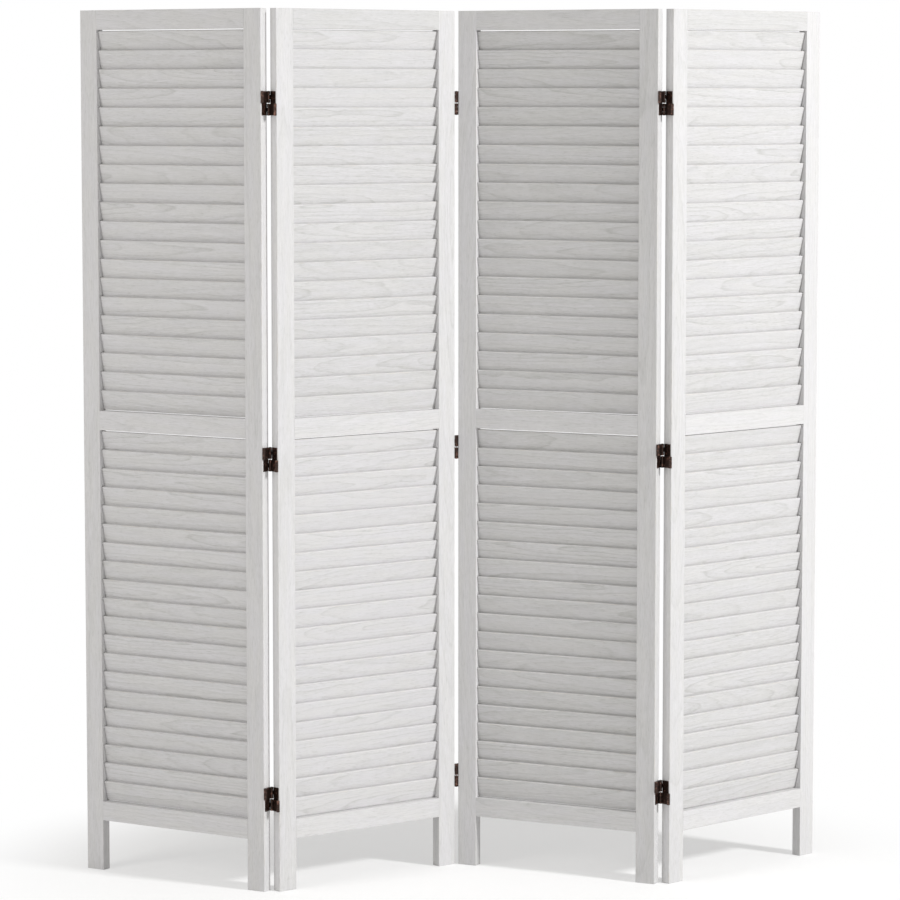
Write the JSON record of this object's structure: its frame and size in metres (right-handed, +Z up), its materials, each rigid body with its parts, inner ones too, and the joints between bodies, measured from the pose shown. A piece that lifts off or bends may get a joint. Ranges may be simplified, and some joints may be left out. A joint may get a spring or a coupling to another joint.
{
  "type": "folding room screen",
  "caption": "Free-standing folding room screen: louvred wooden panels in a zigzag, each with stiles, rails, leaning fixed slats and feet, joined by double-action hinges.",
  "frame": {"origin": "on the floor under the middle of the standing screen, at the centre of its bounding box", "axes": "+Z up; +X from the free edge of panel 1 to the free edge of panel 4, to the right as seen from the front; +Y to the back"},
  "size_m": [1.4674, 0.2886, 1.7],
  "materials": {
    "frame_wood": "white wash over open grain, matt",
    "slat_wood": "white wash over open grain, matt",
    "dowel_wood": "bare beech",
    "hinge_bronze": "dark bronze, semi-gloss, rubbed at the edges",
    "pin_steel": "dark bronze, riveted ends",
    "screw_bronze": "dark bronze, cross recess"
  },
  "bodies": {
    "panel_1": {"panel_1_left_stile": "frame_wood", "panel_1_right_stile": "frame_wood", "panel_1_top_rail": "frame_wood", "panel_1_middle_rail": "frame_wood", "panel_1_bottom_rail": "frame_wood", "panel_1_upper_slats": "slat_wood", "panel_1_lower_slats": "slat_wood", "panel_1_dowels": "dowel_wood", "hinge_1_2_left_leaves": "hinge_bronze", "hinge_1_2_left_screws": "screw_bronze", "hinge_1_2_upper_links": "hinge_bronze", "hinge_1_2_upper_pins": "pin_steel"},
    "panel_2": {"panel_2_left_stile": "frame_wood", "panel_2_right_stile": "frame_wood", "panel_2_top_rail": "frame_wood", "panel_2_middle_rail": "frame_wood", "panel_2_bottom_rail": "frame_wood", "panel_2_upper_slats": "slat_wood", "panel_2_lower_slats": "slat_wood", "panel_2_dowels": "dowel_wood", "hinge_1_2_right_leaves": "hinge_bronze", "hinge_1_2_right_screws": "screw_bronze", "hinge_1_2_lower_links": "hinge_bronze", "hinge_1_2_lower_pins": "pin_steel", "hinge_2_3_left_leaves": "hinge_bronze", "hinge_2_3_left_screws": "screw_bronze", "hinge_2_3_lower_links": "hinge_bronze", "hinge_2_3_lower_pins": "pin_steel"},
    "panel_3": {"panel_3_left_stile": "frame_wood", "panel_3_right_stile": "frame_wood", "panel_3_top_rail": "frame_wood", "panel_3_middle_rail": "frame_wood", "panel_3_bottom_rail": "frame_wood", "panel_3_upper_slats": "slat_wood", "panel_3_lower_slats": "slat_wood", "panel_3_dowels": "dowel_wood", "hinge_2_3_right_leaves": "hinge_bronze", "hinge_2_3_right_screws": "screw_bronze", "hinge_2_3_upper_links": "hinge_bronze", "hinge_2_3_upper_pins": "pin_steel", "hinge_3_4_left_leaves": "hinge_bronze", "hinge_3_4_left_screws": "screw_bronze", "hinge_3_4_upper_links": "hinge_bronze", "hinge_3_4_upper_pins": "pin_steel"},
    "panel_4": {"panel_4_left_stile": "frame_wood", "panel_4_right_stile": "frame_wood", "panel_4_top_rail": "frame_wood", "panel_4_middle_rail": "frame_wood", "panel_4_bottom_rail": "frame_wood", "panel_4_upper_slats": "slat_wood", "panel_4_lower_slats": "slat_wood", "panel_4_dowels": "dowel_wood", "hinge_3_4_right_leaves": "hinge_bronze", "hinge_3_4_right_screws": "screw_bronze", "hinge_3_4_lower_links": "hinge_bronze", "hinge_3_4_lower_pins": "pin_steel"}
  },
  "joints": [
    {"name": "fold_1_2", "type": "hinge", "parent": "panel_1", "child": "panel_2", "pos_m": [-0.37871, -0.12028, 0.84], "axis": [0, 0, 1], "range_deg": [-70, 110]},
    {"name": "fold_2_3", "type": "hinge", "parent": "panel_2", "child": "panel_3", "pos_m": [0.00205, 0.09521, 0.84], "axis": [0, 0, -1], "range_deg": [-65, 114]},
    {"name": "fold_3_4", "type": "hinge", "parent": "panel_3", "child": "panel_4", "pos_m": [0.38097, -0.12348, 0.84], "axis": [0, 0, 1], "range_deg": [-71, 109]}
  ]
}
